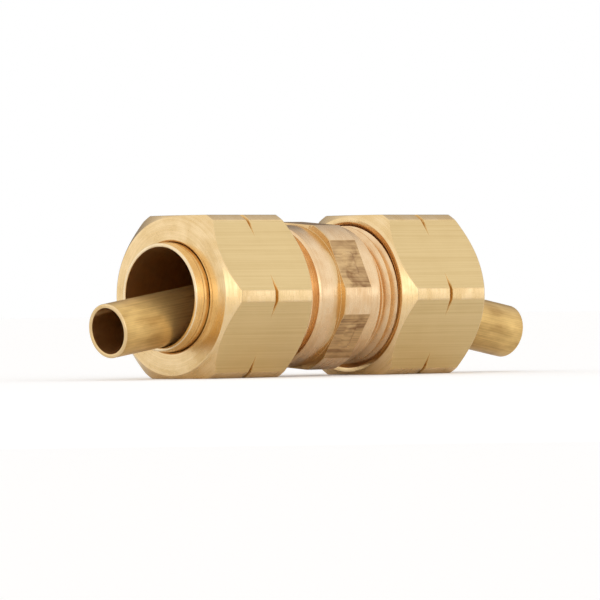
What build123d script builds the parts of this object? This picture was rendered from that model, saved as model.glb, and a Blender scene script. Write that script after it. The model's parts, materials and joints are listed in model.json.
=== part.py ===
from build123d import *
import math
import os

# Straight brass hose union: a threaded body, and on each end a nut, a sleeve and a loose tube insert.
# Millimetres. Origin at the body's centre on the bore axis, X along the bore, Z up, nut flats up and down.

# Body
BODY_FLATS = 28.575  # hex across flats
BODY_CORNER_RADIUS = 15.2
BODY_HEX_LENGTH = 7.3
BODY_TURN = 4.5  # degrees about X that the body's hex stands turned against the nuts
BODY_HALF_LENGTH = 22.0
BODY_END_EDGE = 0.3
COLLAR_RADIUS = 13.97
COLLAR_END = 7.6  # at the right end
COLLAR_EDGE = 0.4
LEFT_EXTRA = 1.75  # by which the collar is longer, and the thread starts later, at the left end
PASSAGE_RADIUS = 4.6
SEAT_RADIUS = 9.85
SEAT_START = 3.2
SEAT_EDGE = 0.5
CONE_START = 18.4
CONE_RADIUS = 11.4
PAD_LENGTH = 4.6
PAD_WIDTH = 7.0
PAD_HEIGHT = 0.25
PAD_CORNER = 1.6

# Thread, 12 to the inch, right-handed at both ends
PITCH = 25.4 / 12
CREST_RADIUS = 13.75
ROOT_RADIUS = 12.45
CREST_HALF_WIDTH = PITCH / 16
FLANK_ANGLE = math.radians(30)
FLANK = math.tan(FLANK_ANGLE)
THREAD_START = 8.75  # at the right end
RUN_OUT_DEPTH = 0.05  # of the relief beside the thread, below its root
THREAD_GAP = 0.12  # play square to the flanks
TIP_GAP = 0.15  # play at crest and root

# Nut
NUT_FLATS = 31.75
NUT_CORNER_RADIUS = 17.75
NUT_FACE_RADIUS = 15.39
NUT_LENGTH = 23.27
NUT_CHAMFER = 2.2
NUT_HOLE_RADIUS = 10.78
NUT_HOLE_EDGE = 0.35
NUT_MOUTH_RADIUS = 14.45
NUT_THREAD_DEPTH = 13.2
NUT_CAVITY_RADIUS = 12.7
NUT_SHOULDER_DEPTH = 17.6
RELIEF_WIDTH = 2.8  # thread run-out groove in the nut
NOTCH_RADIUS = 16.7
NOTCH_WIDTH = 0.8
MOUTH = 11.82  # distance of the right nut's open face from the origin
LEFT_SIXTHS = 4  # sixths of a turn that the left nut is screwed on less, so its flats stay level

# Sleeve
SLEEVE_BORE_RADIUS = 9.78
SLEEVE_RADIUS = 10.64
SLEEVE_LIP_RADIUS = 10.5
SLEEVE_LIP_TAPER = 1.8
SLEEVE_PROTRUSION = 2.98
SLEEVE_COLLAR_RADIUS = 12.3
SLEEVE_COLLAR_GAP = 0.08
SLEEVE_NOSE_RADIUS = 10.3
SLEEVE_NOSE_FLAT = 0.3
SLEEVE_LENGTH = 17.35
LIP_CHAMFER = 0.13
LIP = MOUTH + NUT_LENGTH + SLEEVE_PROTRUSION

# Insert
INSERT_RADIUS = 5.3
INSERT_BORE_RADIUS = 4.45
INSERT_LENGTH = 46.0
INSERT_EDGE = 0.28
FLANGE_RADIUS = 9.2
FLANGE_THICKNESS = 1.6
FLANGE_FILLET = 0.7
LIP_GAP = 0.06  # play between the drooping insert and the sleeve's lip
LEFT_DROOP = 8.4
LEFT_REACH = 14.0  # length of insert outside the sleeve's lip
RIGHT_DROOP = 10.3
RIGHT_REACH = 19.2

# Cutting
OVERLAP = 0.1  # by which the thread's envelope stands clear of its crest
SUNK = 0.3  # depth of a thread ridge's root inside the cylinder that carries it


def turned(outline):
    """Solid of revolution about X of a closed outline of (x, radius) corners."""
    face = make_face(Polyline(*[(x, radius, 0) for x, radius in outline], close=True))
    return revolve(face, Axis.X)


def hex_bar(flats, start, end):
    """Hexagonal bar along X with a flat at the top and at the bottom."""
    section = Plane.YZ.offset(start) * RegularPolygon(flats / 2, 6, major_radius=False)
    return extrude(section, end - start)


def helical_ridge(grow, root_radius, crest_radius, start, end):
    """Right-handed thread ridge along +X, its flanks moved out by grow."""
    root_half = CREST_HALF_WIDTH + (CREST_RADIUS - root_radius) * FLANK + grow
    crest_half = CREST_HALF_WIDTH + (CREST_RADIUS - crest_radius) * FLANK + grow
    profile = Plane.XZ * make_face(
        Polyline(
            (root_radius, -root_half),
            (crest_radius, -crest_half),
            (crest_radius, crest_half),
            (root_radius, root_half),
            close=True,
        )
    )
    path = Helix(PITCH, end - start, crest_radius)
    ridge = sweep(profile, path, is_frenet=True)
    return Pos(start, 0, 0) * Rot(0, 90, 0) * ridge


def other_end(piece):
    """The same piece turned round to the -X end, which keeps its thread right-handed."""
    return Rot(0, 0, 180) * piece


def body_end(extra):
    """Threaded spigot on the +X side, solid inside, its collar longer by the extra."""
    relief = ROOT_RADIUS - RUN_OUT_DEPTH
    collar_end = COLLAR_END + extra
    thread_start = THREAD_START + extra
    thread_end = BODY_HALF_LENGTH - BODY_END_EDGE
    core = turned(
        [
            (0, 0),
            (0, COLLAR_RADIUS),
            (collar_end - COLLAR_EDGE, COLLAR_RADIUS),
            (collar_end, COLLAR_RADIUS - COLLAR_EDGE),
            (collar_end, relief),
            (thread_start, relief),
            (thread_start, ROOT_RADIUS),
            (thread_end, ROOT_RADIUS),
            (BODY_HALF_LENGTH, ROOT_RADIUS - BODY_END_EDGE),
            (BODY_HALF_LENGTH, 0),
        ]
    )
    run_in = CREST_RADIUS - ROOT_RADIUS
    over = CREST_RADIUS + OVERLAP
    envelope = turned(
        [
            (thread_start, 0),
            (thread_start, ROOT_RADIUS),
            (thread_start + run_in / 2, over),
            (thread_end - run_in - OVERLAP, over),
            (thread_end, ROOT_RADIUS),
            (thread_end, 0),
        ]
    )
    ridge = helical_ridge(0, ROOT_RADIUS - SUNK, CREST_RADIUS, THREAD_START - PITCH, BODY_HALF_LENGTH + PITCH)
    return core + (ridge & envelope)


def make_body():
    half_hex = BODY_HEX_LENGTH / 2
    bar = hex_bar(BODY_FLATS, -half_hex, half_hex)
    round_bar = turned([(-half_hex, 0), (-half_hex, BODY_CORNER_RADIUS), (half_hex, BODY_CORNER_RADIUS), (half_hex, 0)])
    hexagon = bar & round_bar
    for side in (30, 150, 210, 330):
        blank = Pos(0, 0, BODY_FLATS / 2) * Box(PAD_LENGTH, PAD_WIDTH, 2 * PAD_HEIGHT)
        blank = fillet(blank.edges().filter_by(Axis.Z), PAD_CORNER)
        hexagon += Rot(side + 90, 0, 0) * blank
    blank = hexagon + body_end(0) + other_end(body_end(LEFT_EXTRA))
    bore = turned(
        [
            (0, 0),
            (0, PASSAGE_RADIUS),
            (SEAT_START - SEAT_EDGE, PASSAGE_RADIUS),
            (SEAT_START, PASSAGE_RADIUS + SEAT_EDGE),
            (SEAT_START, SEAT_RADIUS),
            (CONE_START, SEAT_RADIUS),
            (BODY_HALF_LENGTH, CONE_RADIUS),
            (BODY_HALF_LENGTH + 1, CONE_RADIUS),
            (BODY_HALF_LENGTH + 1, 0),
        ]
    )
    return Rot(BODY_TURN, 0, 0) * (blank - bore - other_end(bore))


def make_nut():
    """Union nut on the +X side."""
    outer = MOUTH + NUT_LENGTH
    shape = hex_bar(NUT_FLATS, MOUTH, outer) & turned(
        [
            (MOUTH, 0),
            (MOUTH, NUT_FACE_RADIUS),
            (MOUTH + NUT_CHAMFER, NUT_CORNER_RADIUS),
            (outer - NUT_CHAMFER, NUT_CORNER_RADIUS),
            (outer, NUT_FACE_RADIUS),
            (outer, 0),
        ]
    )
    middle = (MOUTH + outer) / 2
    depth = NUT_CORNER_RADIUS - NOTCH_RADIUS
    half_width = NOTCH_WIDTH / 2 * (depth + 1) / depth
    notch = turned(
        [
            (middle, NOTCH_RADIUS),
            (middle - half_width, NUT_CORNER_RADIUS + 1),
            (middle + half_width, NUT_CORNER_RADIUS + 1),
        ]
    )
    minor = ROOT_RADIUS + 2 * THREAD_GAP
    major = CREST_RADIUS + TIP_GAP
    thread_end = MOUTH + NUT_THREAD_DEPTH
    shoulder = MOUTH + NUT_SHOULDER_DEPTH
    cavity = turned(
        [
            (MOUTH - 1, 0),
            (MOUTH - 1, NUT_MOUTH_RADIUS),
            (MOUTH, NUT_MOUTH_RADIUS),
            (MOUTH + NUT_MOUTH_RADIUS - minor, minor),
            (thread_end - RELIEF_WIDTH, minor),
            (thread_end - RELIEF_WIDTH / 2, major + TIP_GAP),
            (thread_end, major + TIP_GAP),
            (thread_end, NUT_CAVITY_RADIUS),
            (shoulder, NUT_CAVITY_RADIUS),
            (shoulder + NUT_CAVITY_RADIUS - NUT_HOLE_RADIUS, NUT_HOLE_RADIUS),
            (outer - NUT_HOLE_EDGE, NUT_HOLE_RADIUS),
            (outer + 1, NUT_HOLE_RADIUS + NUT_HOLE_EDGE + 1),
            (outer + 1, 0),
        ]
    )
    # The groove starts at the same point as the body's ridge, so the threads are in mesh at rest.
    groove_end = thread_end - RELIEF_WIDTH / 4
    reach = turned([(MOUTH - 1, 0), (MOUTH - 1, major + 1), (groove_end, major + 1), (groove_end, 0)])
    groove = helical_ridge(THREAD_GAP / math.cos(FLANK_ANGLE), minor - SUNK, major, THREAD_START, thread_end + PITCH)
    return shape - notch - cavity - (groove & reach)


def make_sleeve():
    """Sleeve in the nut on the +X side, held by the nut's inner shoulder."""
    back = MOUTH + NUT_SHOULDER_DEPTH - SLEEVE_COLLAR_GAP * math.sqrt(2)
    collar_end = back + NUT_CAVITY_RADIUS - SLEEVE_COLLAR_RADIUS
    skirt_start = back + NUT_CAVITY_RADIUS - SLEEVE_RADIUS
    nose = LIP - SLEEVE_LENGTH
    cone_slope = (CONE_RADIUS - SEAT_RADIUS) / (BODY_HALF_LENGTH - CONE_START)
    collar_start = nose + SLEEVE_NOSE_FLAT + (SLEEVE_COLLAR_RADIUS - SLEEVE_NOSE_RADIUS) / cone_slope
    return turned(
        [
            (LIP - LIP_CHAMFER, SLEEVE_BORE_RADIUS),
            (LIP, SLEEVE_BORE_RADIUS + LIP_CHAMFER),
            (LIP, SLEEVE_LIP_RADIUS - LIP_CHAMFER),
            (LIP - LIP_CHAMFER, SLEEVE_LIP_RADIUS),
            (LIP - SLEEVE_LIP_TAPER, SLEEVE_RADIUS),
            (skirt_start, SLEEVE_RADIUS),
            (collar_end, SLEEVE_COLLAR_RADIUS),
            (collar_start, SLEEVE_COLLAR_RADIUS),
            (nose + SLEEVE_NOSE_FLAT, SLEEVE_NOSE_RADIUS),
            (nose, SLEEVE_NOSE_RADIUS),
            (nose, SLEEVE_BORE_RADIUS),
        ]
    )


def make_insert(droop, reach):
    """Loose insert on the +X side, lying on the sleeve's lip with its outer end hanging down."""
    insert = turned(
        [
            (0, INSERT_BORE_RADIUS),
            (INSERT_LENGTH, INSERT_BORE_RADIUS),
            (INSERT_LENGTH, INSERT_RADIUS),
            (FLANGE_THICKNESS, INSERT_RADIUS),
            (FLANGE_THICKNESS, FLANGE_RADIUS),
            (0, FLANGE_RADIUS),
        ]
    )
    circles = insert.edges().filter_by(GeomType.CIRCLE).group_by(Axis.X)
    insert = fillet(circles[-1], INSERT_EDGE)
    flange_root = insert.edges().filter_by(GeomType.CIRCLE).group_by(Axis.X)[1].sort_by(SortBy.RADIUS)[0]
    insert = fillet(flange_root, FLANGE_FILLET)
    height = -SLEEVE_BORE_RADIUS + INSERT_RADIUS / math.cos(math.radians(droop)) + LIP_GAP
    return Pos(LIP, 0, height) * Rot(0, droop, 0) * Pos(reach - INSERT_LENGTH, 0, 0) * insert


def to_left(piece):
    """The piece on the -X side, as much further out as the left nut is screwed on less."""
    backed_off = Pos(LEFT_SIXTHS * PITCH / 6, 0, 0) * Rot(60 * LEFT_SIXTHS, 0, 0) * piece
    return other_end(backed_off)


nut = make_nut()
sleeve = make_sleeve()
left_insert = other_end(Pos(LEFT_SIXTHS * PITCH / 6, 0, 0) * make_insert(LEFT_DROOP, LEFT_REACH))
pieces = {
    "body": make_body(),
    "right_nut": nut,
    "left_nut": to_left(nut),
    "right_sleeve": sleeve,
    "left_sleeve": to_left(sleeve),
    "right_insert": make_insert(RIGHT_DROOP, RIGHT_REACH),
    "left_insert": left_insert,
}

os.makedirs("parts", exist_ok=True)
for name, piece in pieces.items():
    export_step(piece, f"parts/{name}.step")
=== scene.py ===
import json
import math

import bpy
from bpy.props import FloatProperty, FloatVectorProperty, PointerProperty
from bpy.types import Operator, Panel, PropertyGroup
from mathutils import Matrix, Vector


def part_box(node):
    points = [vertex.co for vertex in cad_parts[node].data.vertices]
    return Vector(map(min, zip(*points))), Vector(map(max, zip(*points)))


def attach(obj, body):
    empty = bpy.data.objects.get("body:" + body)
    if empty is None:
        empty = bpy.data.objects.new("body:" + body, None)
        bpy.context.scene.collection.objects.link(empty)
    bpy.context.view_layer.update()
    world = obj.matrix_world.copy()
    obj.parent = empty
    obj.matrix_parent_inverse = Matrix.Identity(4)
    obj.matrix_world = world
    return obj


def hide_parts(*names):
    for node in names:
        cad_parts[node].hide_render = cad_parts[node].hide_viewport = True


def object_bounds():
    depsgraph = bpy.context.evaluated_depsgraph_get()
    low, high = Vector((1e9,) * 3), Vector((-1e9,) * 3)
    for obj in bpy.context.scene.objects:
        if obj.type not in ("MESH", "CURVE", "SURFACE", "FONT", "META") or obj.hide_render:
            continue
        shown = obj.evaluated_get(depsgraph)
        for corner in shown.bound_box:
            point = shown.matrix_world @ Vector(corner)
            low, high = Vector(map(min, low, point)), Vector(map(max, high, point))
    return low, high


bl_info = {
    "name": "Brass hose union",
    "version": (1, 0, 0),
    "blender": (4, 5, 0),
    "location": "3D View > Sidebar > Hose union",
    "description": "Models the nuts, body, sleeves and inserts of a brass hose union around its frame",
    "category": "Object",
}

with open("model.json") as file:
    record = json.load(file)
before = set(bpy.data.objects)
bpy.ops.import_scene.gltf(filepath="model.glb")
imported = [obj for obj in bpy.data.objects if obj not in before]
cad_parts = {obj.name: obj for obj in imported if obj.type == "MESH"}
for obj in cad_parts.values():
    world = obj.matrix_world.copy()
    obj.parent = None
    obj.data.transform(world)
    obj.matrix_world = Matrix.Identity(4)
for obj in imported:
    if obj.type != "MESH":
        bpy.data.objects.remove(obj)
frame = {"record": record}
cad_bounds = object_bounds()

RING_STEPS = 144
THREAD_STEPS = 72
OVERCUT = 0.001  # by which a cutting shape stands out past what it cuts
MARGIN = 0.0001  # room round a place by which faces and edges are picked
FINE = 0.00003  # the same on thin walls, and the width of the finest broken edges
WELD = 0.0000001  # distance within which points are one point
THREAD_FLANK = math.radians(30)

# Noise cells per metre, along (X, Y, Z) or along (x, radius, angle)
FINE_RINGS = (7000, 7000, 120)
BROAD_RINGS = (1400, 1400, 60)
FINE_LINES = (30, 5200, 5200)
BROAD_LINES = (12, 1500, 1500)
TUBE_LINES = (70, 5200, 5200)
TUBE_CLOUDS = (90, 190, 190)
FORGED_PITS = (2600, 2600, 2600)
FORGED_WAVES = (150, 260, 260)
FORGED_DRAG = (45, 2200, 2200)

# Relief of the patterns, in metres
RING_DEPTH = 0.000003
LINE_DEPTH = 0.000006
FORGED_DEPTH = 0.00004

# The stage, in metres
FLOOR_SIZE = 6
FLOOR_GAP = 0.00002
FLOOR_GLOW = 0.22
LIGHT_DISTANCE = 0.6
# Name, direction from the object, size in metres, power in watts
LIGHTS = (
    ("camera_light", (-0.7, -0.72, 0.2), (0.3, 0.25), 0.18),
    ("face_light", (-0.62, 0.78, 0.08), (0.25, 0.25), 0.02),
    ("stripe_light", (0.72, -0.70, 0.02), (0.25, 0.16), 0.042),
)
# Cosine of the angle off the direction behind the object, and the colour that the brass reflects from there
SURROUNDINGS = (
    (0.4, (1, 1, 1)),
    (0.76, (0.62, 0.6, 0.59)),
    (0.96, (0.16, 0.15, 0.145)),
)


# Properties


def length(label, about, millimetres):
    metres = millimetres / 1000
    return FloatProperty(name=label, description=about, default=metres, unit="LENGTH", precision=6)


def colour(label, about, value):
    return FloatVectorProperty(
        name=label, description=about, default=value, subtype="COLOR", size=3, min=0, max=1
    )


class ThreadSizes(PropertyGroup):
    """The thread of the body and of both nuts."""

    pitch: length("Pitch", "Advance of the thread in one turn", 25.4 / 12)
    crest_radius: length("Crest radius", "Outer radius of the body's thread", 13.75)
    root_radius: length("Root radius", "Radius at the bottom of the body's thread", 12.45)
    start: length("Start", "Distance from the origin at which the body's thread begins", 8.75)
    play: length("Play", "Clearance of the nut's thread, square to the flanks", 0.12)
    tip_play: length("Tip play", "Clearance at the crest and at the root", 0.15)
    run_out: length("Run-out", "Depth of the run-out before the thread, below its root", 0.05)


class NutSizes(PropertyGroup):
    """Sizes of the union nuts. Length and flats come from the frame."""

    corner_radius: length("Corner radius", "Radius to which the hexagon's corners are turned", 17.745)
    face_radius: length("Face radius", "Radius at which each end face meets its chamfer", 15.39)
    chamfer: length("Chamfer", "Length of the corner chamfers", 2.2)
    hole_radius: length("Hole radius", "Hole in the outer face, round the sleeve", 10.78)
    hole_edge: length("Hole edge", "Break of the hole's edge in the outer face", 0.35)
    mouth_radius: length("Mouth radius", "Countersink at the open face", 14.45)
    notch_radius: length("Notch radius", "Radius at the bottom of the notch cut across the corners", 16.7)
    notch_width: length("Notch width", "Width of the notch at a corner", 0.8)
    thread_depth: length("Thread depth", "From the open face to the end of the thread's relief", 13.2)
    relief_width: length("Relief width", "Width of the run-out groove behind the thread", 2.8)
    cavity_radius: length("Cavity radius", "Cavity round the sleeve's collar", 12.7)
    shoulder_depth: length("Shoulder depth", "From the open face to the inner shoulder", 17.6)
    edge: length("Edge", "Width of the broken edges", 0.12)


class BodySizes(PropertyGroup):
    """Sizes of the centre piece."""

    flats: length("Across flats", "Hexagon across flats", 28.575)
    corner_radius: length("Corner radius", "Radius to which the hexagon's corners are turned", 15.2)
    hex_length: length("Hexagon length", "Length of the hexagon along the bore", 7.3)
    turn: FloatProperty(
        name="Turn",
        description="How far the body stands turned against the nuts",
        default=math.radians(4.5),
        subtype="ANGLE",
    )
    collar_radius: length("Collar radius", "Radius of the collars beside the hexagon", 13.97)
    collar_end: length("Collar end", "Distance of the right collar's outer edge from the origin", 7.6)
    left_extra: length("Left extra", "How much longer the left collar is, and later its thread starts", 1.75)
    passage_radius: length("Passage radius", "Bore through the middle", 4.6)
    seat_start: length("Seat start", "Distance of each hose seat's floor from the origin", 3.2)
    seat_radius: length("Seat radius", "Bore of the hose seats", 9.85)
    cone_start: length("Cone start", "Distance at which each mouth begins to open", 18.4)
    cone_radius: length("Cone radius", "Radius of each mouth", 11.4)
    pad_length: length("Pad length", "Blank raised pads on the flats, along the bore", 4.6)
    pad_width: length("Pad width", "Blank raised pads on the flats, across the flat", 7.0)
    pad_height: length("Pad height", "How far the blank pads stand out", 0.25)
    pad_corner: length("Pad corner", "Corner radius of the blank pads", 1.6)
    collar_edge: length("Collar edge", "Break of the collars' outer edges", 0.4)
    seat_edge: length("Seat edge", "Break of the passage's edges in the seats' floors", 0.5)
    end_edge: length("End edge", "Break of the outer ends, on top of the thread's depth", 0.4)
    # Painted shade: how far the darkening of the left collar reaches from the hexagon's face.
    painted_shade_reach: length("Stain", "Reach of the painted shade ring beside the hexagon", 1.9)
    forged_radius: length("Forged radius", "Radius up to which the hexagon keeps its forged skin", 14.7)
    edge: length("Edge", "Width of the broken edges", 0.1)


class SleeveSizes(PropertyGroup):
    """Sizes of the thin sleeves in the nuts."""

    bore_radius: length("Bore radius", "Hose bore", 9.78)
    radius: length("Skirt radius", "Outside of the skirt", 10.64)
    lip_radius: length("Lip radius", "Outside at the lip, after the taper", 10.5)
    lip_taper: length("Lip taper", "Length of the taper behind the lip", 1.8)
    lip_edge: length("Lip edge", "Break of the lip's edges", 0.13)
    groove_width: length("Groove width", "Width of the fine groove behind the taper", 0.26)
    groove_depth: length("Groove depth", "Depth of the fine groove behind the taper", 0.09)
    nose_radius: length("Nose radius", "Outside at the inner end", 10.3)
    nose_flat: length("Nose flat", "Straight length at the inner end", 0.3)
    collar_gap: length("Collar gap", "Play between the collar and the nut's shoulder", 0.08)
    edge: length("Edge", "Width of the broken edges", 0.06)


class InsertSizes(PropertyGroup):
    """Sizes of the flanged tubes that stand inside the hose."""

    radius: length("Radius", "Outside of the tube", 5.3)
    bore_radius: length("Bore radius", "Inside of the tube", 4.45)
    tube_length: length("Length", "Whole length with the flange", 46.0)
    tip_edge: length("Tip edge", "Rounding of the outer end", 0.28)
    flange_radius: length("Flange radius", "Outside of the flange at the inner end", 9.2)
    flange_thickness: length("Flange thickness", "Thickness of the flange", 1.6)
    flange_fillet: length("Flange fillet", "Fillet between tube and flange", 0.7)
    edge: length("Edge", "Width of the broken edges", 0.1)


class Colours(PropertyGroup):
    """Colours of the finishes, with painted shade for the notches, the fine groove, the bores and the ring
    beside the body's hexagon.
    """

    drawn: colour("Drawn bar", "Flats of the nuts", (0.80, 0.600, 0.300))
    drawn_dark: colour("Drawn bar, dark lines", "Tarnished lines along the flats", (0.72, 0.525, 0.245))
    turned: colour("Turned", "Faces and chamfers of the nuts", (0.905, 0.672, 0.372))
    turned_dark: colour("Turned, dark rings", "Tarnished rings on turned faces", (0.74, 0.500, 0.210))
    collar: colour("Collar", "Turned collars and threads of the body", (0.90, 0.660, 0.400))
    collar_dark: colour("Collar, dark rings", "Tarnished rings on the body", (0.74, 0.460, 0.220))
    # Painted shade: darker brass on the left collar next to the hexagon's face.
    painted_shade_ring: colour("Painted shade ring", "Ring beside the hexagon on the body", (0.73, 0.50, 0.235))
    forged: colour("Forged", "Hexagon of the body", (0.70, 0.465, 0.225))
    forged_dark: colour("Forged, stained", "Stains on the hexagon of the body", (0.33, 0.18, 0.08))
    tube: colour("Tube", "Inserts", (0.82, 0.55, 0.205))
    tube_dark: colour("Tube, stained", "Stains along the inserts", (0.45, 0.255, 0.075))
    sleeve: colour("Sleeve", "Sleeves", (0.98, 0.80, 0.52))
    sleeve_dark: colour("Sleeve, dark rings", "Tarnished rings on the sleeves", (0.87, 0.65, 0.37))
    # Painted shade: a darker orange brass for the notches across the nuts' corners and for the sleeves' fine
    # groove, in place of the shade in these recesses.
    notch: colour("Notch", "Notches across the nuts' corners", (0.80, 0.50, 0.20))
    # Painted shade: the bores and hidden walls get a darker, more orange brass than the turned outside.
    inside: colour("Inside", "Bores and hidden walls", (0.86, 0.57, 0.26))
    floor: colour("Floor", "Floor", (0.87, 0.86, 0.85))


class CameraSettings(PropertyGroup):
    """Where the camera stands."""

    azimuth: FloatProperty(
        name="Azimuth", description="Angle round the union", default=math.radians(-44.4705), subtype="ANGLE"
    )
    elevation: FloatProperty(
        name="Elevation", description="Angle above the horizon", default=math.radians(0.046), subtype="ANGLE"
    )
    roll: FloatProperty(
        name="Roll", description="Turn about the line of sight", default=math.radians(-0.696), subtype="ANGLE"
    )
    distance: length("Distance", "Distance from the aim", 1336.5)
    aim: FloatVectorProperty(
        name="Aim",
        description="Point that the camera looks at",
        default=(-0.00137, -0.00005, -0.00087),
        unit="LENGTH",
        size=3,
    )
    lens: FloatProperty(name="Lens", description="Focal length in millimetres", default=405.6, unit="CAMERA")


class HoseUnion(PropertyGroup):
    """Everything that can be set on the hose union."""

    thread: PointerProperty(type=ThreadSizes)
    nut: PointerProperty(type=NutSizes)
    body: PointerProperty(type=BodySizes)
    sleeve: PointerProperty(type=SleeveSizes)
    insert: PointerProperty(type=InsertSizes)
    colours: PointerProperty(type=Colours)
    camera: PointerProperty(type=CameraSettings)


def settings():
    return bpy.context.scene.hose_union


# Modelling


def deselect():
    if bpy.context.mode != "OBJECT":
        bpy.ops.object.mode_set(mode="OBJECT")
    bpy.ops.object.select_all(action="DESELECT")


def make_active(piece):
    deselect()
    piece.select_set(True)
    bpy.context.view_layer.objects.active = piece


def new_piece(name):
    piece = bpy.context.object
    piece.name = name
    piece.data.name = name
    return piece


def chain(points):
    """Leaves edit mode open on a new object of edges through the points, all selected."""
    deselect()
    bpy.ops.mesh.primitive_plane_add(size=0.001, location=points[0])
    bpy.ops.object.transform_apply(location=True, rotation=True, scale=True)
    bpy.ops.object.mode_set(mode="EDIT")
    bpy.ops.mesh.select_mode(type="VERT")
    bpy.ops.mesh.select_all(action="SELECT")
    bpy.ops.mesh.merge(type="CENTER")
    for here, there in zip(points, points[1:]):
        step = Vector(there) - Vector(here)
        bpy.ops.mesh.extrude_region_move(TRANSFORM_OT_translate={"value": step})
    bpy.ops.mesh.select_all(action="SELECT")
    bpy.ops.mesh.remove_doubles(threshold=WELD)


def turned(name, outline, steps=RING_STEPS):
    """Solid of revolution about X. The outline of (x, radius) corners is open if its ends lie on the axis."""
    corners = [(x, 0, radius) for x, radius in outline]
    if outline[0][1] > 0:
        corners.append(corners[0])
    chain(corners)
    bpy.ops.mesh.spin(steps=steps, angle=math.tau, center=(0, 0, 0), axis=(1, 0, 0), use_auto_merge=True)
    bpy.ops.mesh.select_all(action="SELECT")
    bpy.ops.mesh.remove_doubles(threshold=WELD)
    bpy.ops.mesh.normals_make_consistent(inside=False)
    bpy.ops.object.mode_set(mode="OBJECT")
    return new_piece(name)


def hex_bar(name, flats, start, end):
    """Hexagonal bar along X, flats up and down."""
    deselect()
    bpy.ops.mesh.primitive_cylinder_add(
        vertices=6,
        radius=flats / math.sqrt(3),
        depth=end - start,
        location=((start + end) / 2, 0, 0),
        rotation=(0, math.radians(90), 0),
    )
    bpy.ops.object.transform_apply(location=True, rotation=True, scale=True)
    return new_piece(name)


def threaded_rod(name, grow, root_radius, crest_radius, start, end):
    """Rod with a right-handed thread about X, its flanks moved out by grow, cut flat at both ends."""
    thread = settings().thread
    flank = math.tan(THREAD_FLANK)
    crest_half = thread.pitch / 16 + (thread.crest_radius - crest_radius) * flank + grow
    root_half = thread.pitch / 16 + (thread.crest_radius - root_radius) * flank + grow
    first = thread.start - 2 * thread.pitch
    turns = math.ceil((end - first) / thread.pitch) + 2
    chain(
        [
            (first - thread.pitch / 2, 0, -root_radius),
            (first - root_half, 0, -root_radius),
            (first - crest_half, 0, -crest_radius),
            (first + crest_half, 0, -crest_radius),
            (first + root_half, 0, -root_radius),
            (first + thread.pitch / 2, 0, -root_radius),
        ]
    )
    bpy.ops.object.mode_set(mode="OBJECT")
    rod = new_piece(name)
    screw = rod.modifiers.new("thread", "SCREW")
    screw.axis = "X"
    screw.steps = screw.render_steps = THREAD_STEPS
    screw.iterations = turns
    screw.screw_offset = thread.pitch
    screw.use_merge_vertices = True
    screw.merge_threshold = 10 * WELD
    bpy.ops.object.modifier_apply(modifier=screw.name)
    bpy.ops.object.mode_set(mode="EDIT")
    for place, side in ((start, "clear_inner"), (end, "clear_outer")):
        bpy.ops.mesh.select_all(action="SELECT")
        bpy.ops.mesh.bisect(
            plane_co=(place, 0, 0), plane_no=(1, 0, 0), use_fill=True, threshold=WELD, **{side: True}
        )
    bpy.ops.mesh.select_all(action="SELECT")
    bpy.ops.mesh.remove_doubles(threshold=WELD)
    bpy.ops.mesh.normals_make_consistent(inside=False)
    bpy.ops.object.mode_set(mode="OBJECT")
    return rod


def combine(piece, tool, operation):
    """Boolean of the piece with the tool, which is used up."""
    make_active(piece)
    cut = piece.modifiers.new("cut", "BOOLEAN")
    cut.operation = operation
    cut.solver = "EXACT"
    cut.object = tool
    bpy.ops.object.modifier_apply(modifier=cut.name)
    bpy.data.meshes.remove(tool.data)


def place(piece, move=(0, 0, 0), turn=(0, 0, 0)):
    """Turns and moves the piece's mesh, leaving its object at the origin."""
    make_active(piece)
    piece.location = move
    piece.rotation_euler = turn
    bpy.ops.object.transform_apply(location=True, rotation=True, scale=True)


def twin(piece, name):
    """A copy of the piece with its own mesh."""
    make_active(piece)
    bpy.ops.object.duplicate(linked=False)
    return new_piece(name)


def break_edges(piece, width, within=0, sharpness=22, weld=100 * WELD):
    """Rounds the piece's sharp edges, but only finely within the radius, and evens out its normals."""
    make_active(piece)
    bpy.ops.object.mode_set(mode="EDIT")
    bpy.ops.mesh.select_mode(type="EDGE")
    bpy.ops.mesh.select_all(action="SELECT")
    bpy.ops.mesh.remove_doubles(threshold=weld)
    bpy.ops.mesh.fill_holes(sides=0)
    for offset, inner in ((width, False), (FINE, True)):
        if inner and not within:
            continue
        bpy.ops.mesh.select_all(action="DESELECT")
        bpy.ops.mesh.edges_select_sharp(sharpness=math.radians(sharpness))
        bpy.ops.object.mode_set(mode="OBJECT")
        for edge in piece.data.edges:
            ends = [piece.data.vertices[number].co for number in edge.vertices]
            if (max(radius_of(end) for end in ends) < within) != inner:
                edge.select = False
        bpy.ops.object.mode_set(mode="EDIT")
        bpy.ops.mesh.bevel(offset=offset, segments=2, affect="EDGES", clamp_overlap=False)
    bpy.ops.mesh.select_all(action="SELECT")
    bpy.ops.mesh.remove_doubles(threshold=10 * WELD)
    bpy.ops.object.mode_set(mode="OBJECT")
    bpy.ops.object.shade_smooth()
    normals = piece.modifiers.new("normals", "WEIGHTED_NORMAL")
    normals.keep_sharp = True
    bpy.ops.object.modifier_apply(modifier=normals.name)


# Finishes


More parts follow.
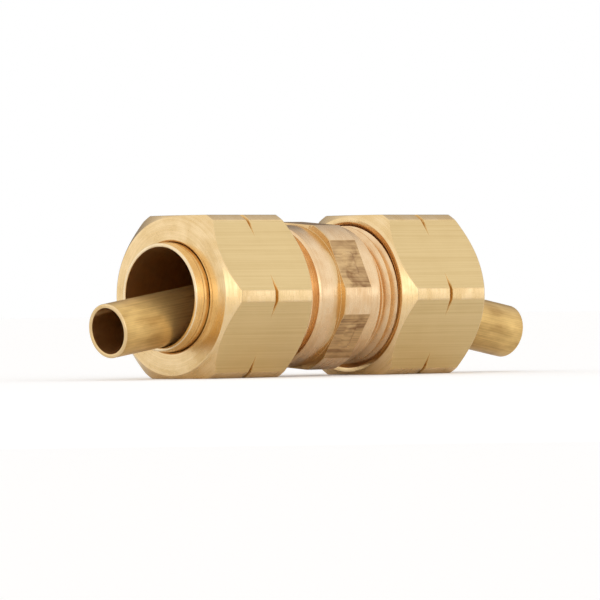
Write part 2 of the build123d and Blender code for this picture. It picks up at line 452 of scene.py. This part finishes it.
class Finish:
    """A node material under construction, read in the piece's own X, radius and angle about its axis."""

    def __init__(self, name, axis_at=(0, 0, 0), axis_tilt=0):
        self.material = bpy.data.materials.get(name) or bpy.data.materials.new(name)
        self.material.use_nodes = True
        self.tree = self.material.node_tree
        self.tree.nodes.clear()
        self.out = self.node("ShaderNodeOutputMaterial")
        self.shader = self.node("ShaderNodeBsdfPrincipled")
        self.shader.inputs["Metallic"].default_value = 1
        self.link(self.shader.outputs["BSDF"], self.out.inputs["Surface"])
        coordinates = self.node("ShaderNodeTexCoord")
        centred = self.node("ShaderNodeMapping", vector_type="TEXTURE")
        centred.inputs["Location"].default_value = axis_at
        centred.inputs["Rotation"].default_value = (0, axis_tilt, 0)
        self.link(coordinates.outputs["Object"], centred.inputs["Vector"])
        self.point = centred.outputs["Vector"]
        self.polar = self.make_polar()

    def node(self, kind, **values):
        made = self.tree.nodes.new(kind)
        for key, value in values.items():
            setattr(made, key, value)
        return made

    def link(self, source, target):
        self.tree.links.new(source, target)

    def math(self, operation, first, second=0.0, third=0.0):
        made = self.node("ShaderNodeMath", operation=operation)
        for socket, value in zip(made.inputs, (first, second, third)):
            if isinstance(value, (int, float)):
                socket.default_value = value
            else:
                self.link(value, socket)
        return made.outputs[0]

    def make_polar(self):
        """(x, radius, angle x 1 cm) about the piece's axis, in metres."""
        parts = self.node("ShaderNodeSeparateXYZ")
        self.link(self.point, parts.inputs[0])
        across = self.math("POWER", parts.outputs["Y"], 2)
        up = self.math("POWER", parts.outputs["Z"], 2)
        radius = self.math("SQRT", self.math("ADD", across, up))
        angle = self.math("ARCTAN2", parts.outputs["Z"], parts.outputs["Y"])
        joined = self.node("ShaderNodeCombineXYZ")
        self.link(parts.outputs["X"], joined.inputs["X"])
        self.link(radius, joined.inputs["Y"])
        self.link(self.math("MULTIPLY", angle, 0.01), joined.inputs["Z"])
        return joined.outputs[0]

    def noise(self, vector, scale, detail=2.0, roughness=0.5, distortion=0.0):
        """Noise with the pattern's cells 1/scale metres long along each of the vector's axes."""
        sized = self.node("ShaderNodeMapping")
        sized.inputs["Scale"].default_value = scale
        self.link(vector, sized.inputs["Vector"])
        made = self.node("ShaderNodeTexNoise")
        made.inputs["Scale"].default_value = 1
        made.inputs["Detail"].default_value = detail
        made.inputs["Roughness"].default_value = roughness
        made.inputs["Distortion"].default_value = distortion
        self.link(sized.outputs[0], made.inputs["Vector"])
        return made.outputs["Fac"]

    def average(self, first, second, share):
        """The two mixed, with the given share of the second."""
        return self.math("ADD", self.math("MULTIPLY", first, 1 - share), self.math("MULTIPLY", second, share))

    def rings(self):
        """Tool marks that run round the axis."""
        fine = self.noise(self.polar, FINE_RINGS, detail=2)
        broad = self.noise(self.polar, BROAD_RINGS, detail=3)
        return self.average(fine, broad, 0.5)

    def grain(self, amount, around=True):
        """Stretches the gloss across marks that run round the axis, or along it."""
        tangent = self.node("ShaderNodeCombineXYZ")
        if around:
            parts = self.node("ShaderNodeSeparateXYZ")
            self.link(self.point, parts.inputs[0])
            self.link(self.math("MULTIPLY", parts.outputs["Z"], -1), tangent.inputs["Y"])
            self.link(parts.outputs["Y"], tangent.inputs["Z"])
        else:
            tangent.inputs["X"].default_value = 1
        turned_to_world = self.node(
            "ShaderNodeVectorTransform", vector_type="VECTOR", convert_from="OBJECT", convert_to="WORLD"
        )
        self.link(tangent.outputs[0], turned_to_world.inputs[0])
        self.link(turned_to_world.outputs[0], self.shader.inputs["Tangent"])
        self.shader.inputs["Anisotropic"].default_value = amount

    def spread(self, value, low, high, to_low=0.0, to_high=1.0):
        """The value's range low to high brought to the new range, and held there."""
        made = self.node("ShaderNodeMapRange", clamp=True)
        for name, number in zip(("From Min", "From Max", "To Min", "To Max"), (low, high, to_low, to_high)):
            made.inputs[name].default_value = number
        self.link(value, made.inputs["Value"])
        return made.outputs[0]

    def blend(self, factor, first, second):
        made = self.node("ShaderNodeMix", data_type="RGBA")
        self.link(factor, made.inputs[0])
        for socket, value in ((made.inputs[6], first), (made.inputs[7], second)):
            if isinstance(value, bpy.types.NodeSocket):
                self.link(value, socket)
            else:
                socket.default_value = (*value, 1)
        return made.outputs[2]

    def complete(self, base, roughness, height, depth):
        """Colour, gloss and relief, whose depth is in metres, go to the shader."""
        self.link(base, self.shader.inputs["Base Color"])
        self.link(roughness, self.shader.inputs["Roughness"])
        bump = self.node("ShaderNodeBump")
        bump.inputs["Strength"].default_value = 1
        bump.inputs["Distance"].default_value = depth
        self.link(height, bump.inputs["Height"])
        self.link(bump.outputs["Normal"], self.shader.inputs["Normal"])
        return self.material


def drawn_bar():
    """Flats of a drawn hexagonal bar: fine lines along X, faint blotches of tarnish."""
    colours = settings().colours
    finish = Finish("drawn_bar_brass")
    fine = finish.noise(finish.point, FINE_LINES, detail=3)
    broad = finish.noise(finish.point, BROAD_LINES, detail=2, roughness=0.6)
    blotch = finish.noise(finish.point, (130, 130, 130), detail=4, roughness=0.6)
    lines = finish.average(fine, broad, 0.35)
    shade = finish.average(lines, blotch, 0.2)
    base = finish.blend(finish.spread(shade, 0.42, 0.64), tuple(colours.drawn), tuple(colours.drawn_dark))
    roughness = finish.spread(lines, 0.3, 0.7, 0.30, 0.44)
    finish.grain(0.4, around=False)
    return finish.complete(base, roughness, lines, LINE_DEPTH)


def turned_brass(name, light, dark, roughness=(0.16, 0.32), axis_at=(0, 0, 0), axis_tilt=0):
    """Turned faces: fine rings about the axis, and soft tarnish between them."""
    finish = Finish(name, axis_at, axis_tilt)
    rings = finish.rings()
    blotch = finish.noise(finish.point, (220, 220, 220), detail=4, roughness=0.6)
    shade = finish.average(rings, blotch, 0.5)
    base = finish.blend(finish.spread(shade, 0.42, 0.68), light, dark)
    rough = finish.spread(shade, 0.35, 0.65, *roughness)
    finish.grain(0.6)
    return finish.complete(base, rough, rings, RING_DEPTH)


def collar_brass():
    """Turned collars and threads of the body, with painted shade darkening the left collar towards the
    hexagon's face.
    """
    sizes, colours = settings().body, settings().colours
    finish = Finish("collar_brass")
    parts = finish.node("ShaderNodeSeparateXYZ")
    finish.link(finish.point, parts.inputs[0])
    rings = finish.rings()
    cloud = finish.noise(finish.point, (260, 260, 260), detail=4, roughness=0.6)
    shade = finish.average(rings, cloud, 0.5)
    # Painted shade: the left collar darkens towards the hexagon's face, over the reach and with a wavy
    # border.
    edge = -sizes.hex_length / 2
    waver = 0.0008
    wavy = finish.math("ADD", parts.outputs["X"], finish.math("MULTIPLY", cloud, waver))
    near = finish.spread(wavy, edge - sizes.painted_shade_reach, edge)
    left_of_edge = finish.spread(parts.outputs["X"], edge + 4 * MARGIN, edge + MARGIN)
    beside = finish.math("MULTIPLY", near, left_of_edge)
    clean = finish.blend(finish.spread(shade, 0.42, 0.68), tuple(colours.collar), tuple(colours.collar_dark))
    base = finish.blend(finish.math("MULTIPLY", beside, 0.8), clean, tuple(colours.painted_shade_ring))
    rough = finish.spread(shade, 0.35, 0.65, 0.2, 0.34)
    finish.grain(0.5)
    return finish.complete(base, rough, rings, RING_DEPTH)


def forged_brass():
    """Hexagon of the body: a dull forged skin, stained, with fine pits."""
    colours = settings().colours
    finish = Finish("forged_brass")
    pits = finish.noise(finish.point, FORGED_PITS, detail=3)
    waves = finish.noise(finish.point, FORGED_WAVES, detail=3, roughness=0.55, distortion=1.4)
    drag = finish.noise(finish.point, FORGED_DRAG, detail=3)
    shade = finish.average(waves, drag, 0.45)
    base = finish.blend(finish.spread(shade, 0.42, 0.62), tuple(colours.forged), tuple(colours.forged_dark))
    roughness = finish.spread(shade, 0.35, 0.65, 0.26, 0.42)
    height = finish.math("ADD", waves, finish.math("MULTIPLY", pits, 0.1))
    return finish.complete(base, roughness, height, FORGED_DEPTH)


def drawn_tube(name, axis_at, axis_tilt):
    """Drawn tube: lines along it, cloudy tarnish that leaves it less metallic."""
    colours = settings().colours
    finish = Finish(name, axis_at, axis_tilt)
    fine = finish.noise(finish.point, TUBE_LINES, detail=3)
    cloud = finish.noise(finish.point, TUBE_CLOUDS, detail=4, roughness=0.55)
    shade = finish.average(fine, cloud, 0.7)
    base = finish.blend(finish.spread(shade, 0.4, 0.64), tuple(colours.tube), tuple(colours.tube_dark))
    roughness = finish.spread(shade, 0.35, 0.65, 0.3, 0.46)
    finish.shader.inputs["Metallic"].default_value = 0.82
    return finish.complete(base, roughness, fine, LINE_DEPTH)


def inside_shade_brass():
    """Bores and hidden walls, duller than the turned outside, in a darker brass that is painted shade."""
    colours = settings().colours
    light, dark = tuple(colours.inside), tuple(colours.collar_dark)
    return turned_brass("inside_shade_brass", light, dark, roughness=(0.4, 0.55))


def paint(piece, materials, choose):
    """Gives each face the material that choose(centre, normal) numbers."""
    piece.data.materials.clear()
    for material in materials:
        piece.data.materials.append(material)
    for face in piece.data.polygons:
        face.material_index = choose(face.center, face.normal)


def hand_over(piece, node):
    """The finished piece stands for the node and rides on its body."""
    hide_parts(node)
    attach(piece, node)


def radius_of(point):
    return math.hypot(point.y, point.z)


# Pieces


def model_nut(mouth, outer, flats):
    """Nut on the +X side between the two distances."""
    nut, thread = settings().nut, settings().thread
    middle = (mouth + outer) / 2
    blank = turned(
        "nut",
        [
            (mouth, 0),
            (mouth, nut.face_radius),
            (mouth + nut.chamfer, nut.corner_radius),
            (middle - nut.notch_width / 2, nut.corner_radius),
            (middle, nut.notch_radius),
            (middle + nut.notch_width / 2, nut.corner_radius),
            (outer - nut.chamfer, nut.corner_radius),
            (outer, nut.face_radius),
            (outer, 0),
        ],
    )
    combine(blank, hex_bar("bar", flats, mouth - OVERCUT, outer + OVERCUT), "INTERSECT")
    minor = thread.root_radius + 2 * thread.play
    major = thread.crest_radius + thread.tip_play
    thread_end = mouth + nut.thread_depth
    relief = thread_end - nut.relief_width
    shoulder = mouth + nut.shoulder_depth
    cavity = turned(
        "cavity",
        [
            (mouth - OVERCUT, 0),
            (mouth - OVERCUT, nut.mouth_radius + OVERCUT),
            (mouth + nut.mouth_radius - minor, minor),
            (relief, minor),
            (relief + nut.relief_width / 2, major + thread.tip_play),
            (thread_end, major + thread.tip_play),
            (thread_end, nut.cavity_radius),
            (shoulder, nut.cavity_radius),
            (shoulder + nut.cavity_radius - nut.hole_radius, nut.hole_radius),
            (outer - nut.hole_edge, nut.hole_radius),
            (outer + OVERCUT, nut.hole_radius + nut.hole_edge + OVERCUT),
            (outer + OVERCUT, 0),
        ],
    )
    combine(blank, cavity, "DIFFERENCE")
    grow = thread.play / math.cos(THREAD_FLANK)
    groove_end = thread_end - nut.relief_width / 4
    groove = threaded_rod("groove", grow, minor - thread.play, major, mouth - OVERCUT, groove_end)
    combine(blank, groove, "DIFFERENCE")
    break_edges(blank, nut.edge, within=nut.mouth_radius - MARGIN)
    return blank


class UNION_OT_nuts(Operator):
    """Models both union nuts with their threads, chamfers and corner notches"""

    bl_idname = "hose_union.nuts"
    bl_label = "Nuts"

    def execute(self, context):
        sizes, colours = settings().nut, settings().colours
        low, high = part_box("right_nut")
        flats = high.z - low.z
        right = model_nut(low.x, high.x, flats)
        right.name = right.data.name = "right_nut_piece"
        turned_face = turned_brass("turned_nut_brass", tuple(colours.turned), tuple(colours.turned_dark))
        wall = flats / 2 - MARGIN

        def choose(centre, normal):
            across = abs(normal.x) > 0.9
            if radius_of(centre) < sizes.mouth_radius and (not across or centre.x < high.x - sizes.chamfer):
                return 2
            off_middle = abs(centre.x - (low.x + high.x) / 2)
            if off_middle < sizes.notch_width / 2 and abs(normal.x) > 0.1:
                return 3
            flat = abs(normal.x) < 0.05 and radius_of(centre) < sizes.corner_radius * 0.97
            return 0 if flat and radius_of(centre) >= wall else 1

        # Painted shade: the notches get a darker brass than the turned faces, standing in for the shade in
        # the notch.
        notch = turned_brass("notch_shade_brass", tuple(colours.notch), tuple(colours.tube_dark))
        paint(right, [drawn_bar(), turned_face, inside_shade_brass(), notch], choose)
        left = twin(right, "left_nut_piece")
        backed_off = -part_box("left_nut")[1].x - low.x
        unscrewed = math.tau * backed_off / settings().thread.pitch
        place(left, move=(-backed_off, 0, 0), turn=(unscrewed, 0, math.pi))
        hand_over(right, "right_nut")
        hand_over(left, "left_nut")
        return {"FINISHED"}


def model_body_end(extra):
    """Relief and thread on the +X side, starting later by the extra, with a shank inside the collars."""
    thread, body = settings().thread, settings().body
    thread_start = thread.start + extra
    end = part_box("body")[1].x
    inside = body.hex_length / 2
    relief = thread.root_radius - thread.run_out
    run_in = thread.crest_radius - thread.root_radius
    beyond = thread.crest_radius + MARGIN
    rod = threaded_rod(
        "rod", 0, thread.root_radius, thread.crest_radius, inside - OVERCUT, end + OVERCUT
    )
    envelope = turned(
        "envelope",
        [
            (inside, 0),
            (inside, relief),
            (thread_start, relief),
            (thread_start + run_in / 2, beyond),
            (end - run_in - body.end_edge, beyond),
            (end, thread.root_radius - body.end_edge + beyond - thread.crest_radius),
            (end, 0),
        ],
    )
    combine(rod, envelope, "INTERSECT")
    return rod


def model_pad():
    """Blank raised pad that stands on the upper flat of the body's hexagon."""
    body = settings().body
    deselect()
    bpy.ops.mesh.primitive_cube_add(size=1)
    pad = new_piece("pad")
    depth = 0.002
    pad.scale = (body.pad_length, body.pad_width, depth)
    bpy.ops.object.transform_apply(location=True, rotation=True, scale=True)
    for edge in pad.data.edges:
        ends = [pad.data.vertices[number].co for number in edge.vertices]
        edge.select = abs(ends[0].z - ends[1].z) > depth / 2
    bpy.ops.object.mode_set(mode="EDIT")
    bpy.ops.mesh.bevel(offset=body.pad_corner, segments=5, affect="EDGES")
    place(pad, move=(0, 0, body.flats / 2 + body.pad_height - depth / 2))
    return pad


class UNION_OT_body(Operator):
    """Models the hexagon, collars, threads and bore of the centre piece"""

    bl_idname = "hose_union.body"
    bl_label = "Body"

    def execute(self, context):
        sizes, colours = settings().body, settings().colours
        half = sizes.hex_length / 2
        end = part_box("body")[1].x
        corners = [(-half, sizes.corner_radius), (half, sizes.corner_radius)]
        hexagon = turned("hexagon", [(-half, 0), *corners, (half, 0)])
        combine(hexagon, hex_bar("bar", sizes.flats, -half - OVERCUT, half + OVERCUT), "INTERSECT")
        pad = model_pad()
        for side in (60, 120, 240, 300):
            turned_pad = twin(pad, "turned_pad")
            place(turned_pad, turn=(math.radians(side), 0, 0))
            combine(hexagon, turned_pad, "UNION")
        bpy.data.meshes.remove(pad.data)
        edge = sizes.collar_edge
        left = -sizes.collar_end - sizes.left_extra
        body = turned(
            "body_piece",
            [
                (left, 0),
                (left, sizes.collar_radius - edge),
                (left + edge, sizes.collar_radius),
                (sizes.collar_end - edge, sizes.collar_radius),
                (sizes.collar_end, sizes.collar_radius - edge),
                (sizes.collar_end, 0),
            ],
        )
        right_end = model_body_end(0)
        left_end = model_body_end(sizes.left_extra)
        place(left_end, turn=(0, 0, math.pi))
        combine(body, right_end, "UNION")
        combine(body, left_end, "UNION")
        combine(body, hexagon, "UNION")
        slope = (sizes.cone_radius - sizes.seat_radius) / (end - sizes.cone_start)
        half_bore = [
            (sizes.seat_start - sizes.seat_edge, sizes.passage_radius),
            (sizes.seat_start, sizes.passage_radius + sizes.seat_edge),
            (sizes.seat_start, sizes.seat_radius),
            (sizes.cone_start, sizes.seat_radius),
            (end + OVERCUT, sizes.cone_radius + OVERCUT * slope),
            (end + OVERCUT, 0),
        ]
        bore = turned("bore", [(-x, radius) for x, radius in reversed(half_bore)] + half_bore)
        combine(body, bore, "DIFFERENCE")
        break_edges(body, sizes.edge, within=sizes.collar_radius - MARGIN)

        def choose(centre, normal):
            if radius_of(centre) < sizes.cone_radius + MARGIN:
                return 2
            on_flat = abs(centre.x) < half + FINE and abs(normal.x) < 0.9
            return 0 if on_flat and radius_of(centre) < sizes.forged_radius else 1

        paint(body, [forged_brass(), collar_brass(), inside_shade_brass()], choose)
        place(body, turn=(sizes.turn, 0, 0))
        hand_over(body, "body")
        return {"FINISHED"}


class UNION_OT_sleeves(Operator):
    """Models the thin sleeves that stick out of the nuts"""

    bl_idname = "hose_union.sleeves"
    bl_label = "Sleeves"

    def execute(self, context):
        sleeve, nut, body = settings().sleeve, settings().nut, settings().body
        colours = settings().colours
        nose, lip = (corner.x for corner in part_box("right_sleeve"))
        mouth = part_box("right_nut")[0].x
        back = mouth + nut.shoulder_depth - sleeve.collar_gap * math.sqrt(2)
        collar_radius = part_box("right_sleeve")[1].z
        cone = (body.cone_radius - body.seat_radius) / (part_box("body")[1].x - body.cone_start)
        collar_start = nose + sleeve.nose_flat + (collar_radius - sleeve.nose_radius) / cone
        outline = [
            (lip - sleeve.lip_edge, sleeve.bore_radius),
            (lip, sleeve.bore_radius + sleeve.lip_edge),
            (lip, sleeve.lip_radius - sleeve.lip_edge),
            (lip - sleeve.lip_edge, sleeve.lip_radius),
            (lip - sleeve.lip_taper, sleeve.radius),
            (lip - sleeve.lip_taper - sleeve.groove_width / 2, sleeve.radius - sleeve.groove_depth),
            (lip - sleeve.lip_taper - sleeve.groove_width, sleeve.radius),
            (back + nut.cavity_radius - sleeve.radius, sleeve.radius),
            (back + nut.cavity_radius - collar_radius, collar_radius),
            (collar_start, collar_radius),
            (nose + sleeve.nose_flat, sleeve.nose_radius),
            (nose, sleeve.nose_radius),
            (nose, sleeve.bore_radius),
        ]
        right = turned("right_sleeve_piece", outline)
        break_edges(right, sleeve.edge, sharpness=30, weld=10 * WELD)

        def choose(centre, normal):
            if radius_of(centre) < sleeve.bore_radius + FINE and centre.x < lip - sleeve.lip_taper:
                return 1
            # Painted shade: the faces of the fine groove behind the taper take the dark groove brass.
            behind_taper = lip - sleeve.lip_taper - centre.x
            in_groove = 0 < behind_taper < sleeve.groove_width
            return 2 if in_groove and radius_of(centre) < sleeve.radius - sleeve.groove_depth / 4 else 0

        outside = turned_brass(
            "turned_sleeve_brass", tuple(colours.sleeve), tuple(colours.sleeve_dark), roughness=(0.2, 0.32)
        )
        # Painted shade: the fine groove gets the darker notch brass, standing in for the shade in the groove.
        groove = turned_brass("groove_shade_brass", tuple(colours.notch), tuple(colours.tube_dark))
        paint(right, [outside, inside_shade_brass(), groove], choose)
        left = twin(right, "left_sleeve_piece")
        place(left, move=(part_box("left_sleeve")[0].x + lip, 0, 0), turn=(0, 0, math.pi))
        hand_over(right, "right_sleeve")
        hand_over(left, "left_sleeve")
        return {"FINISHED"}


def arc(centre, radius, start, end, steps):
    """Points of a circular arc in the (x, radius) plane, angles in degrees."""
    angles = [math.radians(start + (end - start) * step / steps) for step in range(steps + 1)]
    return [(centre[0] + radius * math.cos(a), centre[1] + radius * math.sin(a)) for a in angles]


class UNION_OT_inserts(Operator):
    """Models the flanged tubes that hang loose in the sleeves"""

    bl_idname = "hose_union.inserts"
    bl_label = "Inserts"

    def execute(self, context):
        sizes = settings().insert
        colours = settings().colours
        mounts = {mount["name"]: mount for mount in frame["record"]["mounts"]}
        edge, fillet = sizes.tip_edge, sizes.flange_fillet
        back = -sizes.tube_length
        front = back + sizes.flange_thickness
        outline = [
            *arc((-edge, sizes.bore_radius + edge), edge, -90, 0, 4),
            *arc((-edge, sizes.radius - edge), edge, 0, 90, 4),
            *arc((front + fillet, sizes.radius + fillet), fillet, 270, 180, 5),
            (front, sizes.flange_radius),
            (back, sizes.flange_radius),
            (back, sizes.bore_radius),
        ]
        shape = turned("insert", outline)
        break_edges(shape, sizes.edge, sharpness=40, weld=10 * WELD)
        for side in ("right", "left"):
            mount = mounts[f"{side}_insert_end"]
            axis = Vector(mount["axis"])
            at = Vector(mount["pos_m"])
            piece = twin(shape, f"{side}_insert_piece")
            turn = axis.to_track_quat("X", "Z").to_euler()
            place(piece, move=at, turn=turn)
            tilt = math.atan2(-axis.z, axis.x)
            tube = drawn_tube(f"drawn_tube_brass_{side}", at, tilt)
            rim = turned_brass(
                f"turned_rim_brass_{side}",
                tuple(colours.turned),
                tuple(colours.turned_dark),
                axis_at=at,
                axis_tilt=tilt,
            )
            deep = at - axis * sizes.tip_edge * 1.2

            def choose(centre, normal):
                along = (centre - at).dot(axis)
                off_axis = (centre - at - axis * along).length
                if (centre - deep).dot(axis) > 0:
                    return 2
                return 1 if off_axis < sizes.bore_radius + FINE else 0

            paint(piece, [tube, inside_shade_brass(), rim], choose)
            hand_over(piece, f"{side}_insert")
        bpy.data.meshes.remove(shape.data)
        return {"FINISHED"}


# Studio


def set_floor():
    """Pale floor on which the nuts lie. It glows a little where the camera sees it, and not in the brass."""
    deselect()
    bpy.ops.mesh.primitive_plane_add(size=FLOOR_SIZE, location=(0, 0, cad_bounds[0].z - FLOOR_GAP))
    floor = new_piece("floor")
    pale = bpy.data.materials.new("floor")
    pale.use_nodes = True
    nodes, links = pale.node_tree.nodes, pale.node_tree.links
    shader = nodes["Principled BSDF"]
    shader.inputs["Base Color"].default_value = (*settings().colours.floor, 1)
    shader.inputs["Roughness"].default_value = 0.8
    shader.inputs["Emission Color"].default_value = (1, 1, 1, 1)
    path = nodes.new("ShaderNodeLightPath")
    glow = nodes.new("ShaderNodeMath")
    glow.operation = "MULTIPLY"
    glow.inputs[1].default_value = FLOOR_GLOW
    links.new(path.outputs["Is Camera Ray"], glow.inputs[0])
    links.new(glow.outputs[0], shader.inputs["Emission Strength"])
    floor.data.materials.append(pale)


def set_surroundings():
    """White all round. The brass reflects a darker patch from behind itself, which gives it its shading."""
    world = bpy.data.worlds.new("studio")
    bpy.context.scene.world = world
    world.use_nodes = True
    nodes, links = world.node_tree.nodes, world.node_tree.links
    seen = nodes["Background"]
    seen.inputs["Strength"].default_value = 1
    seen.inputs["Color"].default_value = (1, 1, 1, 1)
    direction = nodes.new("ShaderNodeTexCoord")
    dot = nodes.new("ShaderNodeVectorMath")
    dot.operation = "DOT_PRODUCT"
    azimuth = settings().camera.azimuth
    dot.inputs[1].default_value = (-math.sin(azimuth), math.cos(azimuth), 0)
    links.new(direction.outputs["Generated"], dot.inputs[0])
    ramp = nodes.new("ShaderNodeValToRGB")
    links.new(dot.outputs["Value"], ramp.inputs["Fac"])
    steps = ramp.color_ramp.elements
    steps.remove(steps[1])
    steps[0].position = SURROUNDINGS[0][0]
    steps[0].color = (*SURROUNDINGS[0][1], 1)
    for cosine, shade in SURROUNDINGS[1:]:
        steps.new(cosine).color = (*shade, 1)
    reflected = nodes.new("ShaderNodeBackground")
    links.new(ramp.outputs["Color"], reflected.inputs["Color"])
    path = nodes.new("ShaderNodeLightPath")
    mix = nodes.new("ShaderNodeMixShader")
    links.new(path.outputs["Is Camera Ray"], mix.inputs[0])
    links.new(reflected.outputs[0], mix.inputs[1])
    links.new(seen.outputs[0], mix.inputs[2])
    links.new(mix.outputs[0], nodes["World Output"].inputs["Surface"])


def set_light(name, direction, size, power):
    """Soft area light that shines on the middle of the union from the direction."""
    deselect()
    at = Vector(direction).normalized() * LIGHT_DISTANCE
    bpy.ops.object.light_add(type="AREA", location=at)
    light = bpy.context.object
    light.name = name
    light.rotation_euler = (-at).to_track_quat("-Z", "Y").to_euler()
    light.data.shape = "RECTANGLE"
    light.data.size, light.data.size_y = size
    light.data.energy = power


def set_camera():
    """Camera at the sizes of its settings, looking at the aim."""
    stand = settings().camera
    data = bpy.data.cameras.new("camera")
    data.lens = stand.lens
    data.clip_start, data.clip_end = 0.01, 20
    camera = bpy.data.objects.new("camera", data)
    bpy.context.scene.collection.objects.link(camera)
    level = math.cos(stand.elevation)
    back = Vector(
        (math.sin(stand.azimuth) * level, -math.cos(stand.azimuth) * level, math.sin(stand.elevation))
    )
    camera.location = Vector(stand.aim) + back * stand.distance
    looking = (-back).to_track_quat("-Z", "Y").to_matrix()
    camera.rotation_euler = (looking @ Matrix.Rotation(stand.roll, 3, "Z")).to_euler()
    bpy.context.scene.camera = camera


class UNION_OT_stage(Operator):
    """Sets up the floor, the soft lights, the surroundings and the camera"""

    bl_idname = "hose_union.stage"
    bl_label = "Stage"

    def execute(self, context):
        set_floor()
        set_surroundings()
        for light in LIGHTS:
            set_light(*light)
        set_camera()
        context.scene.view_settings.view_transform = "Standard"
        return {"FINISHED"}


class UNION_PT_sidebar(Panel):
    """Lists the pieces and their sizes in the 3D view's sidebar"""

    bl_label = "Hose union"
    bl_idname = "UNION_PT_sidebar"
    bl_space_type = "VIEW_3D"
    bl_region_type = "UI"
    bl_category = "Hose union"

    def draw(self, context):
        for operator in OPERATORS:
            self.layout.operator(operator.bl_idname)
        for part in HoseUnion.__annotations__:
            group = getattr(settings(), part)
            box = self.layout.box()
            box.label(text=part.capitalize())
            for name in group.__annotations__:
                box.prop(group, name)


GROUPS = (ThreadSizes, NutSizes, BodySizes, SleeveSizes, InsertSizes, Colours, CameraSettings, HoseUnion)
OPERATORS = (UNION_OT_nuts, UNION_OT_body, UNION_OT_sleeves, UNION_OT_inserts, UNION_OT_stage)


def register():
    for group in (*GROUPS, *OPERATORS, UNION_PT_sidebar):
        bpy.utils.register_class(group)
    bpy.types.Scene.hose_union = PointerProperty(type=HoseUnion)


def unregister():
    del bpy.types.Scene.hose_union
    for group in reversed((*GROUPS, *OPERATORS, UNION_PT_sidebar)):
        bpy.utils.unregister_class(group)


def main():
    register()
    bpy.ops.hose_union.nuts()
    bpy.ops.hose_union.body()
    bpy.ops.hose_union.sleeves()
    bpy.ops.hose_union.inserts()
    bpy.ops.hose_union.stage()


if __name__ == "__main__":
    main()
